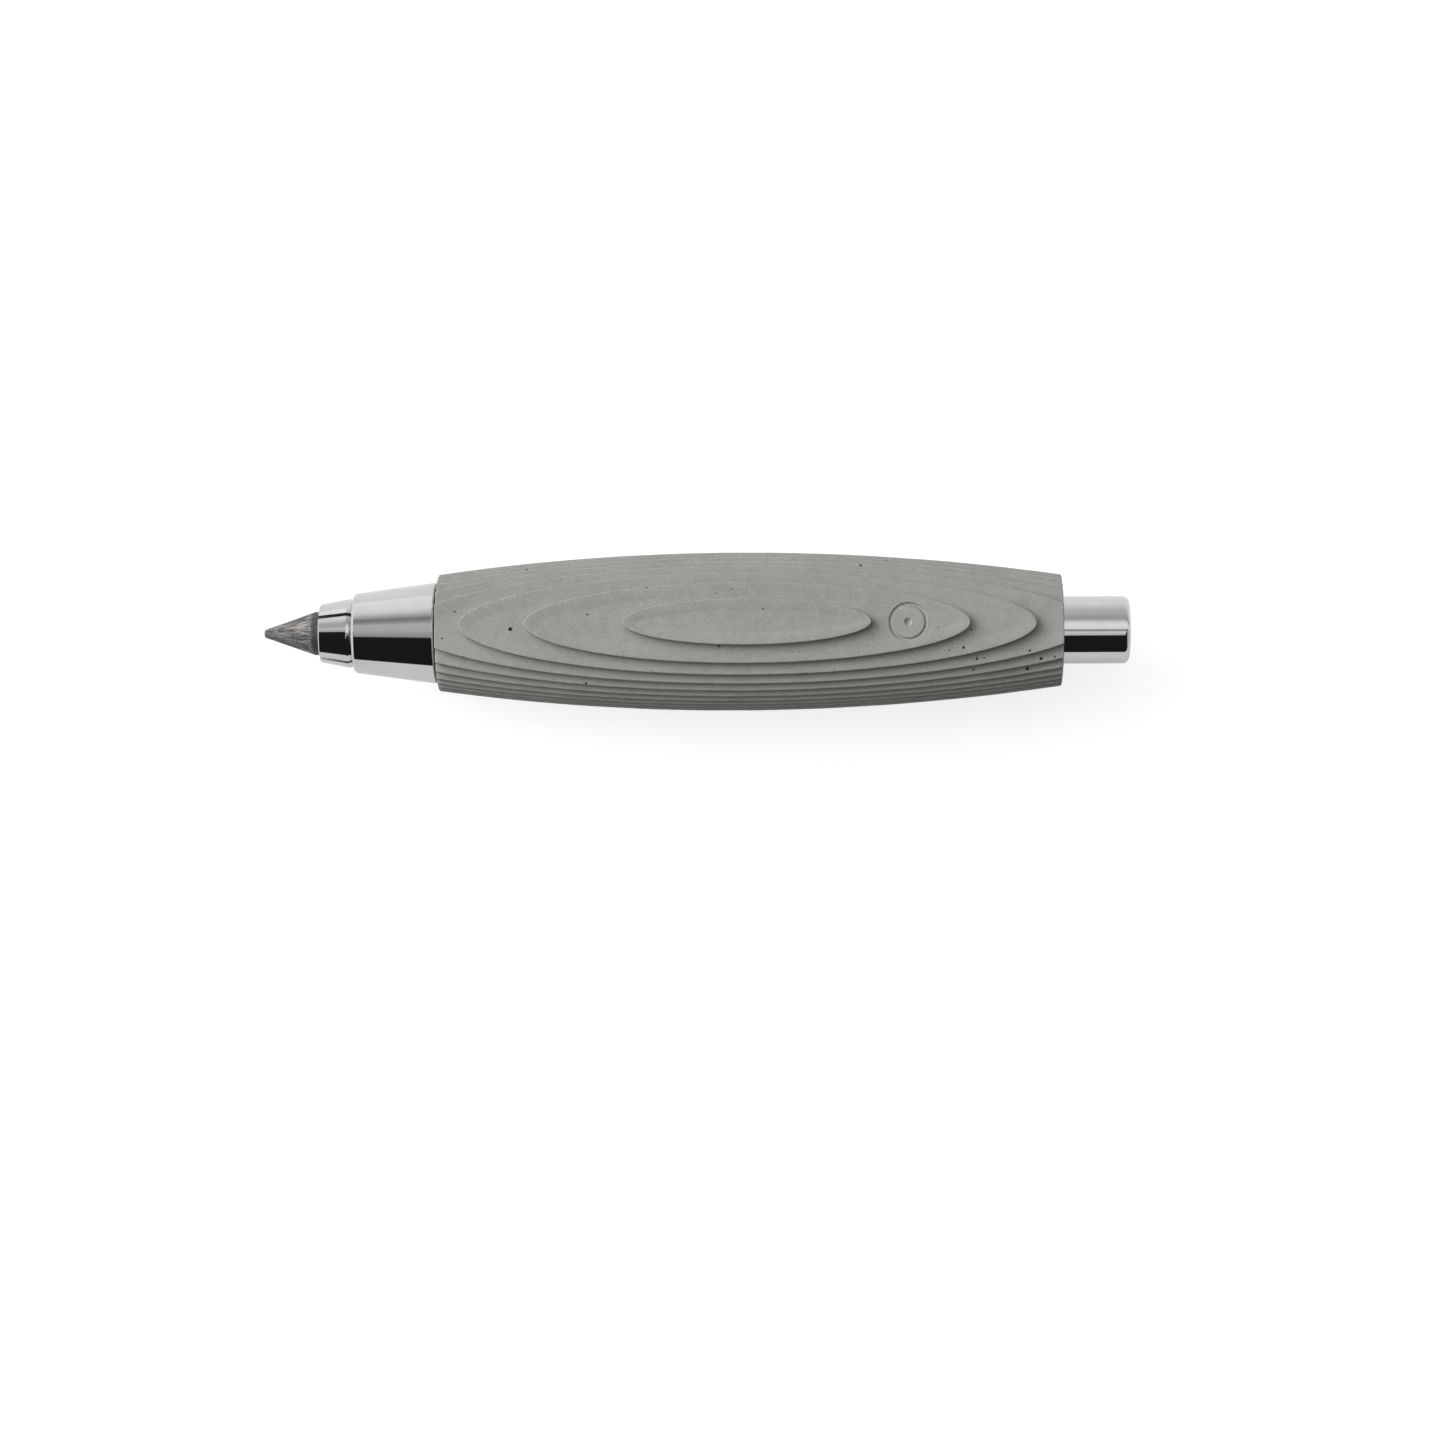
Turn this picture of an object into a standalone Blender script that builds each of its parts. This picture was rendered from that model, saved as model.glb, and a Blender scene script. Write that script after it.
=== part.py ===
"""Clutch pencil (lead holder) for 5.6 mm leads, with a barrel of stepped concrete layers.

The pencil lies along X, its point towards -X, on the lowest flat layer of its barrel.
The origin is under the middle of its whole length, at the level of that flat layer.
Sizes are in millimetres. A station is a distance along the pencil's axis from the middle of
the barrel, positive towards the push button.
"""
from math import cos
from math import pi
from math import radians
from math import sin
from math import sqrt
from math import tan

import bmesh
import bpy
from mathutils import Matrix
from mathutils import Vector

MM = 0.001

# Lead
LEAD_R = 2.8
LEAD_LENGTH = 80.0
LEAD_TIP_R = 0.5
LEAD_TIP = -62.66
POINT_ANGLE = radians(19.3)

# Concrete barrel: a spindle, slightly wider than it is tall, cut into flat layers of equal thickness
BARREL_HALF = 40.0
BELLY_R = 10.08
BELLY_X = -0.2
BARREL_END_R = 7.27
WIDENING = 1.012
NOSE_FULLNESS = 0.019
LAYER_COUNT = 10
LAYER_T = 0.9645
AXIS_HEIGHT = LAYER_COUNT * LAYER_T

# Metal tube in the barrel
LINER_R = 5.4
LINER_BORE_R = 4.95
LINER_HALF = 39.9

# Nose cone
CONE_FRONT = -50.96
CONE_BACK = -40.22
CONE_BACK_R = 6.53
CONE_TAPER = radians(7.57)
CONE_ROUND = 0.8
CONE_LIP = 0.18
CONE_NECK_END = -33.0
CONE_BORE_R = 3.85
CONE_NECK_BORE_R = 4.45
CONE_NECK_BORE_FRONT = -46.0

# Collet
JAW_COUNT = 4
JAW_TURN = radians(19)
SLIT = 0.48
JAW_FRONT = -55.33
JAW_FRONT_R = 3.77
JAW_HEAD_R = 4.47
JAW_HEAD = -51.6
WEDGE_START = -51.25
WEDGE_START_R = 4.36
WEDGE_ANGLE = radians(20)
JAW_NECK_R = 3.5
JAW_GRIP_END = -48.5
JAW_ROOT = -37.2
JAW_HINGE_R = 3.2
COLLET_NECK_R = 3.9
COLLET_NECK_END = -30.0

# Lead tube and what is on it
TUBE_R = 3.5
TUBE_BORE_R = 3.0
TUBE_FRONT = -36.15
TUBE_BACK = 29.9
COLLAR_R = 4.85
COLLAR_FRONT = -10.0
COLLAR_T = 2.0

# Return spring and the washer that it pushes forward on
SEAT_T = 0.6
SPRING_WIRE_R = 0.4
SPRING_COIL_R = 4.4
SPRING_TURNS = 7
SPRING_POINTS = 16

# Push button, with the lead pointer in its stem
BUTTON_R = 4.33
BUTTON_FRONT = 39.75
BUTTON_BACK = 48.7
BUTTON_ROUND = 0.75
BUTTON_END_T = 1.2
STEM_R = 3.67
STEM_FRONT = 30.6
STEM_BACK = 47.3
SOCKET_R = 4.28
SOCKET_FRONT = 26.0
SOCKET_BACK = 39.7
BUSH_FRONT = 30.0
BUSH_BACK = 39.9
POINTER_MOUTH_R = 2.95
POINTER_END_R = 0.35
RAMP_FRONT = 31.8
RAMP_LENGTH = 7.2
BLADE_LENGTH = 6.5
BLADE_WIDTH = 2.4
BLADE_T = 0.3
SCREW_ALONG = 5.0
SCREW_OFFSET = 1.45
SCREW_HEAD_R = 0.9
SCREW_HEAD_T = 0.45
SCREW_SHANK_R = 0.5

# Fits and fineness
GAP = 0.05
THIN_GAP = 0.03
ROUND_STEPS = 40
SMALL_STEPS = 20
SHARP_ANGLE = radians(30)

CONE_NECK_R = LINER_BORE_R - GAP
BARREL_MIDDLE_X = -(LEAD_TIP + BUTTON_BACK) / 2
SEAT_BACK = CONE_NECK_END + GAP + SEAT_T
SPRING_FRONT = SEAT_BACK + GAP
SPRING_BACK = COLLAR_FRONT - GAP
ARC_R = (BARREL_HALF ** 2 + (BELLY_R - BARREL_END_R) ** 2) / (2 * (BELLY_R - BARREL_END_R))

# Colour, roughness, metallic
FINISHES = {
    "concrete": ((0.33, 0.325, 0.31), 0.9, 0.0),
    "chrome": ((0.85, 0.86, 0.88), 0.06, 1.0),
    "brass": ((0.78, 0.60, 0.30), 0.3, 1.0),
    "steel": ((0.60, 0.60, 0.61), 0.28, 1.0),
    "graphite": ((0.10, 0.10, 0.10), 0.45, 0.3),
    "rubber": ((0.05, 0.035, 0.03), 0.7, 0.0),
}


def start_scene():
    for old in list(bpy.data.objects):
        bpy.data.objects.remove(old)


def add_collection(name):
    collection = bpy.data.collections.new(name)
    bpy.context.scene.collection.children.link(collection)
    return collection


def make_finish(name):
    colour, roughness, metallic = FINISHES[name]
    material = bpy.data.materials.new(name)
    material.use_nodes = True
    shader = material.node_tree.nodes["Principled BSDF"]
    shader.inputs["Base Color"].default_value = (*colour, 1.0)
    shader.inputs["Roughness"].default_value = roughness
    shader.inputs["Metallic"].default_value = metallic
    return material


def add_part(name, data, finish):
    """A sub-part on the pencil's axis."""
    part = bpy.data.objects.new(name, data)
    parts.objects.link(part)
    part.parent = axis
    data.materials.append(make_finish(finish))
    return part


def add_cutter(name, data):
    cutter = bpy.data.objects.new(name, data)
    cutters.objects.link(cutter)
    cutter.parent = axis
    cutter.hide_render = True
    cutter.display_type = "WIRE"
    return cutter


def lay_along_axis(part):
    """Turn a shape made along local Z so that it lies along the pencil, back end towards +X."""
    part.rotation_euler = (0, pi / 2, 0)


def outline_mesh(name, outline):
    """An outline of (radius, station) points as a wire in the XZ plane, closed unless it meets the axis."""
    points = [(radius * MM, 0.0, station * MM) for radius, station in outline]
    edges = [(i, i + 1) for i in range(len(points) - 1)]
    if min(radius for radius, _ in outline) > 0:
        edges.append((len(points) - 1, 0))
    mesh = bpy.data.meshes.new(name)
    mesh.from_pydata(points, edges, [])
    return mesh


def turn(obj, steps):
    """A Screw modifier that turns the outline once round the axis."""
    screw = obj.modifiers.new("turn", "SCREW")
    screw.steps = steps
    screw.render_steps = steps
    screw.use_merge_vertices = True
    screw.merge_threshold = 1e-6


def turned(name, outline, finish, steps=ROUND_STEPS):
    """A turned piece. Its outline runs down the outer side, back end first, then up the bore."""
    part = add_part(name, outline_mesh(name, outline), finish)
    lay_along_axis(part)
    turn(part, steps)
    return part


def turned_cutter(name, outline, steps=ROUND_STEPS):
    cutter = add_cutter(name, outline_mesh(name, outline))
    lay_along_axis(cutter)
    turn(cutter, steps)
    return cutter


def box_mesh(name, low, high):
    """A box between two corners."""
    shape = bmesh.new()
    bmesh.ops.create_cube(shape, size=1.0)
    size = (Vector(high) - Vector(low)) * MM
    middle = (Vector(high) + Vector(low)) * MM / 2
    bmesh.ops.scale(shape, vec=size, verts=shape.verts)
    bmesh.ops.translate(shape, vec=middle, verts=shape.verts)
    mesh = bpy.data.meshes.new(name)
    shape.to_mesh(mesh)
    shape.free()
    return mesh


def combine(part, other, operation):
    boolean = part.modifiers.new(operation.lower(), "BOOLEAN")
    boolean.operation = operation
    boolean.solver = "EXACT"
    boolean.object = other


def settle(part):
    """Apply the part's modifiers, and shade it smooth except at its real edges."""
    depsgraph = bpy.context.evaluated_depsgraph_get()
    mesh = bpy.data.meshes.new_from_object(part.evaluated_get(depsgraph))
    part.modifiers.clear()
    part.data = mesh
    mesh.shade_smooth()
    mesh.set_sharp_from_angle(angle=SHARP_ANGLE)


def move_origin(part, point):
    """Put the part's origin at a point given in its own space, without moving the part."""
    part.data.transform(Matrix.Translation(-point))
    part.location = part.location + part.rotation_euler.to_matrix() @ point


def arc(middle, radius, start, end, steps):
    """Points round an arc. The angle is 0 outwards and grows towards the back end."""
    turns = [start + (end - start) * i / steps for i in range(steps + 1)]
    return [(middle[0] + radius * cos(a), middle[1] + radius * sin(a)) for a in turns]


# Concrete barrel

def belly_radius(x):
    """The spindle's radius at a station, measured up from its axis."""
    return BELLY_R - ARC_R + sqrt(ARC_R ** 2 - (x - BELLY_X) ** 2)


def half_width(x, height):
    """Half the barrel's width at a station and a height. It is fuller towards the nose."""
    round_width = sqrt(max(belly_radius(x) ** 2 - height ** 2, 0.0))
    return round_width * (WIDENING - NOSE_FULLNESS * x / BARREL_HALF)


def layer_stations(height):
    """Stations along one side of a layer's outline, past the barrel's ends for the long layers."""
    reach = sqrt(ARC_R ** 2 - (ARC_R - BELLY_R + height) ** 2)
    if reach < BARREL_HALF:
        steps = 26
        return [BELLY_X + reach * sin(pi * (i / steps - 0.5)) for i in range(steps + 1)]
    steps = 20
    end = BARREL_HALF + 1.0
    return [end * (2 * i / steps - 1) for i in range(steps + 1)]


def layer_outline(height):
    """The flat section of the spindle at a height above its axis, as points around it."""
    side = [(x, half_width(x, height)) for x in layer_stations(height)]
    back = [(x, -y) for x, y in reversed(side)]
    if side[0][1] < 1e-6:
        back = back[1:-1]
    return side + back


def layer_slab(index):
    """The slab that reaches up and down to one layer's height, with that layer's outline."""
    height = index * LAYER_T
    outline = layer_outline(height)
    name = f"layer_{index}"
    curve = bpy.data.curves.new(name, "CURVE")
    curve.dimensions = "2D"
    curve.fill_mode = "BOTH"
    curve.extrude = height * MM
    spline = curve.splines.new("POLY")
    spline.points.add(len(outline) - 1)
    for point, (x, y) in zip(spline.points, outline):
        point.co = (x * MM, y * MM, 0.0, 1.0)
    spline.use_cyclic_u = True
    return solid_from_curve(name, curve)


def solid_from_curve(name, curve):
    """A cutter with the curve's filled shape, its caps joined to its walls."""
    drawn = bpy.data.objects.new(name, curve)
    cutters.objects.link(drawn)
    depsgraph = bpy.context.evaluated_depsgraph_get()
    mesh = bpy.data.meshes.new_from_object(drawn.evaluated_get(depsgraph))
    bpy.data.objects.remove(drawn)
    shape = bmesh.new()
    shape.from_mesh(mesh)
    bmesh.ops.remove_doubles(shape, verts=shape.verts, dist=1e-7)
    bmesh.ops.recalc_face_normals(shape, faces=shape.faces)
    shape.to_mesh(mesh)
    shape.free()
    return add_cutter(name, mesh)


def make_barrel():
    slabs = [layer_slab(index) for index in range(1, LAYER_COUNT + 1)]
    barrel = add_part("concrete_barrel", slabs[0].data.copy(), "concrete")
    for slab in slabs[1:]:
        combine(barrel, slab, "UNION")
    width = BELLY_R + 2.0
    ends = add_cutter("barrel_ends", box_mesh("barrel_ends", (-BARREL_HALF, -width, -width),
                                              (BARREL_HALF, width, width)))
    combine(barrel, ends, "INTERSECT")
    bore_end = BARREL_HALF + 2.0
    bore_r = LINER_R + GAP
    bore = turned_cutter("barrel_bore", [(0, bore_end), (bore_r, bore_end), (bore_r, -bore_end), (0, -bore_end)])
    combine(barrel, bore, "DIFFERENCE")
    settle(barrel)


def ring(name, outer_r, inner_r, front, back, finish):
    """A plain ring or tube between two stations."""
    part = turned(name, [(outer_r, back), (outer_r, front), (inner_r, front), (inner_r, back)], finish)
    settle(part)
    return part


def make_barrel_fittings():
    ring("barrel_liner", LINER_R, LINER_BORE_R, -LINER_HALF, LINER_HALF, "brass")
    ring("rear_bush", CONE_NECK_R, BUTTON_R + GAP, BUSH_FRONT, BUSH_BACK, "brass")
    gasket_r = CONE_BACK_R - CONE_LIP
    ring("front_gasket", gasket_r, LINER_BORE_R + GAP, CONE_BACK + THIN_GAP, -BARREL_HALF - THIN_GAP, "rubber")
    ring("spring_seat", CONE_NECK_R, COLLET_NECK_R + GAP, CONE_NECK_END + GAP, SEAT_BACK, "steel")


# Nose cone

def wedge_station(radius):
    """Where the jaws' wedge has a radius."""
    return WEDGE_START + (WEDGE_START_R - radius) / tan(WEDGE_ANGLE)


def wedge_radius(station):
    return WEDGE_START_R - (station - WEDGE_START) * tan(WEDGE_ANGLE)


def cone_radius(station):
    """Radius of the nose cone's long taper."""
    return CONE_BACK_R + (station - CONE_BACK - CONE_LIP) * tan(CONE_TAPER)


def make_nose_cone():
    round_station = CONE_FRONT + CONE_ROUND
    round_r = cone_radius(round_station) - CONE_ROUND / cos(CONE_TAPER)
    shoulder = arc((round_r, round_station), CONE_ROUND, -CONE_TAPER, -pi / 2, 5)
    seat_gap = GAP / cos(WEDGE_ANGLE)
    chamfer = 0.25
    outline = [
        (CONE_NECK_R - chamfer, CONE_NECK_END),
        (CONE_NECK_R, CONE_NECK_END - chamfer),
        (CONE_NECK_R, CONE_BACK),
        (CONE_BACK_R - CONE_LIP, CONE_BACK),
        (CONE_BACK_R, CONE_BACK - CONE_LIP),
        *shoulder,
        (wedge_radius(CONE_FRONT) + seat_gap, CONE_FRONT),
        (CONE_BORE_R, wedge_station(CONE_BORE_R - seat_gap)),
        (CONE_BORE_R, CONE_NECK_BORE_FRONT),
        (CONE_NECK_BORE_R, CONE_NECK_BORE_FRONT),
        (CONE_NECK_BORE_R, CONE_NECK_END),
    ]
    settle(turned("nose_cone", outline, "chrome"))


# Collet: four jaws and the ring that they grow from

def jaw_outline():
    grip_r = LEAD_R + GAP
    edge = 0.15
    relief_r = grip_r + 0.1
    return [
        (JAW_NECK_R, JAW_ROOT),
        (JAW_NECK_R, wedge_station(JAW_NECK_R)),
        (WEDGE_START_R, WEDGE_START),
        (JAW_HEAD_R, JAW_HEAD + edge),
        (JAW_HEAD_R - 0.02, JAW_HEAD - edge),
        (JAW_FRONT_R, JAW_FRONT + edge),
        (JAW_FRONT_R - edge, JAW_FRONT),
        (grip_r, JAW_FRONT),
        (grip_r, JAW_GRIP_END),
        (relief_r, JAW_GRIP_END + 0.2),
        (relief_r, JAW_ROOT),
    ]


def make_jaw(index):
    """One jaw: the quarter of the turned collet between two saw slits."""
    jaw = turned(f"collet_jaw_{index + 1}", jaw_outline(), "chrome")
    facing = JAW_TURN + 2 * pi * index / JAW_COUNT + pi
    reach = JAW_HEAD_R + 1.0
    low = (SLIT / 2, SLIT / 2, JAW_FRONT - 1.0)
    high = (reach, reach, JAW_ROOT + 1.0)
    quarter = add_cutter(f"jaw_quarter_{index + 1}", box_mesh("jaw_quarter", low, high))
    quarter.data.transform(Matrix.Rotation(facing - pi / 4, 4, "Z"))
    lay_along_axis(quarter)
    combine(jaw, quarter, "INTERSECT")
    settle(jaw)
    move_origin(jaw, Vector((JAW_HINGE_R * cos(facing), JAW_HINGE_R * sin(facing), JAW_ROOT)) * MM)


def make_collet_neck():
    front = JAW_ROOT + GAP
    socket_front = TUBE_FRONT - GAP
    outline = [
        (COLLET_NECK_R, COLLET_NECK_END),
        (COLLET_NECK_R, front),
        (TUBE_BORE_R, front),
        (TUBE_BORE_R, socket_front),
        (TUBE_R + GAP, socket_front),
        (TUBE_R + GAP, COLLET_NECK_END),
    ]
    settle(turned("collet_neck", outline, "brass"))


# Lead and lead tube

def make_lead():
    back = LEAD_TIP + LEAD_LENGTH
    edge = 0.2
    point_end = LEAD_TIP + (LEAD_R - LEAD_TIP_R) / tan(POINT_ANGLE)
    outline = [
        (0, back),
        (LEAD_R - edge, back),
        (LEAD_R, back - edge),
        (LEAD_R, point_end),
        (LEAD_TIP_R, LEAD_TIP),
        (0, LEAD_TIP),
    ]
    settle(turned("graphite_lead", outline, "graphite"))


def make_tube():
    ring("lead_tube", TUBE_R, TUBE_BORE_R, TUBE_FRONT, TUBE_BACK, "brass")
    ring("spring_collar", COLLAR_R, TUBE_R + GAP, COLLAR_FRONT, COLLAR_FRONT + COLLAR_T, "brass")
    outline = [
        (SOCKET_R, SOCKET_BACK),
        (SOCKET_R, SOCKET_FRONT),
        (TUBE_R + GAP, SOCKET_FRONT),
        (TUBE_R + GAP, TUBE_BACK + GAP),
        (STEM_R + GAP, TUBE_BACK + GAP),
        (STEM_R + GAP, SOCKET_BACK),
    ]
    settle(turned("button_socket", outline, "brass"))


# Return spring

def spring_point(turn_count, total):
    """A point on the wire's middle, whose first and last turns lie closed."""
    length = SPRING_BACK - SPRING_FRONT - 2 * SPRING_WIRE_R
    closed_rise = 2 * SPRING_WIRE_R + GAP
    if turn_count <= 1:
        rise = closed_rise * turn_count
    elif turn_count >= total - 1:
        rise = length - closed_rise * (total - turn_count)
    else:
        rise = closed_rise + (length - 2 * closed_rise) * (turn_count - 1) / (total - 2)
    angle = 2 * pi * turn_count
    along = SPRING_FRONT + SPRING_WIRE_R + rise
    return (along * MM, SPRING_COIL_R * cos(angle) * MM, SPRING_COIL_R * sin(angle) * MM)


def make_spring():
    total = SPRING_TURNS + 2
    count = total * SPRING_POINTS
    curve = bpy.data.curves.new("return_spring", "CURVE")
    curve.dimensions = "3D"
    curve.bevel_depth = SPRING_WIRE_R * MM
    curve.bevel_resolution = 2
    curve.use_fill_caps = True
    spline = curve.splines.new("POLY")
    spline.points.add(count)
    for i, point in enumerate(spline.points):
        point.co = (*spring_point(i / SPRING_POINTS, total), 1.0)
    add_part("return_spring", curve, "steel")


# Push button and lead pointer

def make_button():
    inner_r = STEM_R + GAP
    inner_end = BUTTON_BACK - BUTTON_END_T
    corner = arc((BUTTON_R - BUTTON_ROUND, BUTTON_BACK - BUTTON_ROUND), BUTTON_ROUND, pi / 2, 0, 6)
    outline = [
        (0, BUTTON_BACK),
        *corner,
        (BUTTON_R, BUTTON_FRONT),
        (inner_r, BUTTON_FRONT),
        (inner_r, inner_end),
        (0, inner_end),
    ]
    settle(turned("push_button", outline, "chrome"))


def on_ramp(obj):
    """Lay a shape on the pointer's ramp: its X runs back along the ramp, its Z out of it."""
    ramp_height = POINTER_MOUTH_R - (RAMP_FRONT - STEM_FRONT - 0.5) * tan(POINT_ANGLE) - GAP
    obj.location = Vector((RAMP_FRONT, 0.0, ramp_height)) * MM
    obj.rotation_euler = (0, POINT_ANGLE, 0)


def cylinder_mesh(name, radius, low, high, x, y):
    """An upright cylinder between two heights."""
    shape = bmesh.new()
    bmesh.ops.create_cone(shape, cap_ends=True, segments=SMALL_STEPS, radius1=radius * MM,
                          radius2=radius * MM, depth=(high - low) * MM)
    bmesh.ops.translate(shape, vec=Vector((x, y, (low + high) / 2)) * MM, verts=shape.verts)
    mesh = bpy.data.meshes.new(name)
    shape.to_mesh(mesh)
    shape.free()
    return mesh


def ramp_cutter(name, mesh):
    cutter = add_cutter(name, mesh)
    on_ramp(cutter)
    return cutter


def make_pointer_body():
    """The stem, with a conical hole for the lead and a ramp for the blade along the cone's side."""
    mouth_end = STEM_FRONT + 0.5
    cone_end = mouth_end + (POINTER_MOUTH_R - POINTER_END_R) / tan(POINT_ANGLE)
    outline = [
        (0, STEM_BACK),
        (STEM_R, STEM_BACK),
        (STEM_R, STEM_FRONT),
        (POINTER_MOUTH_R, STEM_FRONT),
        (POINTER_MOUTH_R, mouth_end),
        (POINTER_END_R, cone_end),
        (POINTER_END_R, cone_end + 0.6),
        (0, cone_end + 0.6),
    ]
    body = turned("sharpener_body", outline, "brass")
    wide = STEM_R + 1.0
    ramp = box_mesh("pointer_ramp", (0, -wide, 0), (RAMP_LENGTH, wide, 2 * wide))
    combine(body, ramp_cutter("pointer_ramp", ramp), "DIFFERENCE")
    slot = box_mesh("shaving_slot", (0.4, -1.5, -0.9), (RAMP_LENGTH - 0.6, -0.1, wide))
    combine(body, ramp_cutter("shaving_slot", slot), "DIFFERENCE")
    hole = cylinder_mesh("screw_hole", SCREW_SHANK_R + GAP, -1.6, wide, SCREW_ALONG, SCREW_OFFSET)
    combine(body, ramp_cutter("screw_hole", hole), "DIFFERENCE")
    settle(body)


def make_blade():
    start = 0.3
    blade = add_part("sharpener_blade", box_mesh("sharpener_blade", (start, -0.1, THIN_GAP),
                                                 (start + BLADE_LENGTH, BLADE_WIDTH - 0.1, THIN_GAP + BLADE_T)),
                     "steel")
    on_ramp(blade)
    hole = cylinder_mesh("blade_hole", SCREW_SHANK_R + 2 * GAP, -1.0, 2.0, SCREW_ALONG, SCREW_OFFSET)
    combine(blade, ramp_cutter("blade_hole", hole), "DIFFERENCE")
    settle(blade)


def make_blade_screw():
    head_low = BLADE_T + 2 * THIN_GAP
    head = cylinder_mesh("blade_screw", SCREW_HEAD_R, head_low, head_low + SCREW_HEAD_T,
                         SCREW_ALONG, SCREW_OFFSET)
    screw = add_part("blade_screw", head, "steel")
    on_ramp(screw)
    shank = cylinder_mesh("screw_shank", SCREW_SHANK_R, -1.5, head_low + 0.2, SCREW_ALONG, SCREW_OFFSET)
    combine(screw, ramp_cutter("screw_shank", shank), "UNION")
    slot_half = 0.12
    slot = box_mesh("screw_slot", (SCREW_ALONG - 2, SCREW_OFFSET - slot_half, head_low + 0.25),
                    (SCREW_ALONG + 2, SCREW_OFFSET + slot_half, head_low + 2.0))
    combine(screw, ramp_cutter("screw_slot", slot), "DIFFERENCE")
    settle(screw)


start_scene()
parts = add_collection("lead_holder")
cutters = add_collection("cutters")
axis = bpy.data.objects.new("pencil_axis", None)
parts.objects.link(axis)
axis.location = (BARREL_MIDDLE_X * MM, 0.0, AXIS_HEIGHT * MM)

make_barrel()
make_barrel_fittings()
make_nose_cone()
for jaw_index in range(JAW_COUNT):
    make_jaw(jaw_index)
make_collet_neck()
make_lead()
make_tube()
make_spring()
make_button()
make_pointer_body()
make_blade()
make_blade_screw()
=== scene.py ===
"""Studio picture of a concrete clutch pencil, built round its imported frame.

Sizes are in millimetres, and MM turns them into metres. A station is a distance along the
pencil from the middle of its barrel, positive towards the push button.
"""

import random
from math import asin
from math import cos
from math import pi
from math import radians
from math import sin
from math import sqrt
from math import tan

import bmesh
import bpy
from mathutils import Matrix
from mathutils import Vector
from mathutils import noise


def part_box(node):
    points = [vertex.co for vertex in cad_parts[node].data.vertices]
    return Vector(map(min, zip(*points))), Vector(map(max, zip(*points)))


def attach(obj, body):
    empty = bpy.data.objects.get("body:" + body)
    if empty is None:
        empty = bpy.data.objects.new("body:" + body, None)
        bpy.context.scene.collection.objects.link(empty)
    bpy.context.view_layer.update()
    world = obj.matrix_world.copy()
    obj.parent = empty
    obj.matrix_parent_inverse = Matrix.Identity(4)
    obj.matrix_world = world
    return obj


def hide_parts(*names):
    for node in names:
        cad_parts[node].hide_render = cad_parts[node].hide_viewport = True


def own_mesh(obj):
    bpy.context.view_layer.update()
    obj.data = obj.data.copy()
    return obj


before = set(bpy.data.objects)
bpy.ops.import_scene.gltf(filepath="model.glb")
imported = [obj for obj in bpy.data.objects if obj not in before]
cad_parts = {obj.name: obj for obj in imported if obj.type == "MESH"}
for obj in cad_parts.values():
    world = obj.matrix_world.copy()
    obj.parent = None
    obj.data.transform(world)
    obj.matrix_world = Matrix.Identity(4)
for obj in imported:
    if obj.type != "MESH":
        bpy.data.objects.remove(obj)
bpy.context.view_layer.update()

MM = 0.001
ROUND_STEPS = 160
SHARP_ANGLE = radians(32)

# The barrel's box, and the arc that its rims follow
barrel_low, barrel_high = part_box("concrete_barrel")
MIDDLE = (barrel_low + barrel_high) / 2
BARREL_HALF = (barrel_high.x - barrel_low.x) / 2 / MM
LAYER_COUNT = 10
LAYER_THICKNESS = (barrel_high.z - barrel_low.z) / 2 / LAYER_COUNT / MM
BELLY_R = 10.08
BELLY_X = -0.2
BARREL_END_R = 7.27
ARC_R = (BARREL_HALF ** 2 + (BELLY_R - BARREL_END_R) ** 2) / (2 * (BELLY_R - BARREL_END_R))


def stations(node):
    """First and last station of a CAD node."""
    low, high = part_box(node)
    return (low.x - MIDDLE.x) / MM, (high.x - MIDDLE.x) / MM


def outer_radius(node):
    """Half the height of a CAD node."""
    low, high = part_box(node)
    return (high.z - low.z) / 2 / MM


# ---------------------------------------------------------------- meshes
# They are made in millimetres from the barrel's middle, and add_piece puts them in place

ON_AXIS = 1e-6


def at(station, radius, turn):
    """A point round the pencil's axis.

    A turn of 0 is straight up, and a quarter turn faces the viewer's side.
    """
    return Vector((station, -radius * sin(turn), radius * cos(turn)))


def rounded(corners, steps=6):
    """A closed outline with rounded corners, from (station, radius, rounding) corners."""
    points = []
    for i, (station, radius, rounding) in enumerate(corners):
        corner = Vector((station, radius))
        if rounding == 0:
            points.append(corner)
            continue
        before = Vector(corners[i - 1][:2]) - corner
        after = Vector(corners[(i + 1) % len(corners)][:2]) - corner
        half = before.angle(after) / 2
        cut = min(rounding / tan(half), 0.48 * before.length, 0.48 * after.length)
        middle = corner + (before.normalized() + after.normalized()).normalized() * cut / cos(half)
        start = corner + before.normalized() * cut - middle
        end = corner + after.normalized() * cut - middle
        sweep = start.angle_signed(end)
        points += [middle + Matrix.Rotation(-sweep * k / steps, 2) @ start for k in range(steps + 1)]
    return points


def supported(outline, margin=0.05):
    """The outline with extra points near the ends of its long stretches, which keep them flat when smooth."""
    points = []
    for here, there in zip(outline, outline[1:] + outline[:1]):
        points.append(here)
        stretch = there - here
        if stretch.length > 6 * margin:
            points.append(here + stretch.normalized() * margin)
            points.append(there - stretch.normalized() * margin)
    return points


def finish_mesh(name, shape):
    """A smooth mesh with sharp edges, made from a bmesh, which it frees."""
    bmesh.ops.recalc_face_normals(shape, faces=shape.faces)
    mesh = bpy.data.meshes.new(name)
    shape.to_mesh(mesh)
    shape.free()
    mesh.shade_smooth()
    mesh.set_sharp_from_angle(angle=SHARP_ANGLE)
    return mesh


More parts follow.
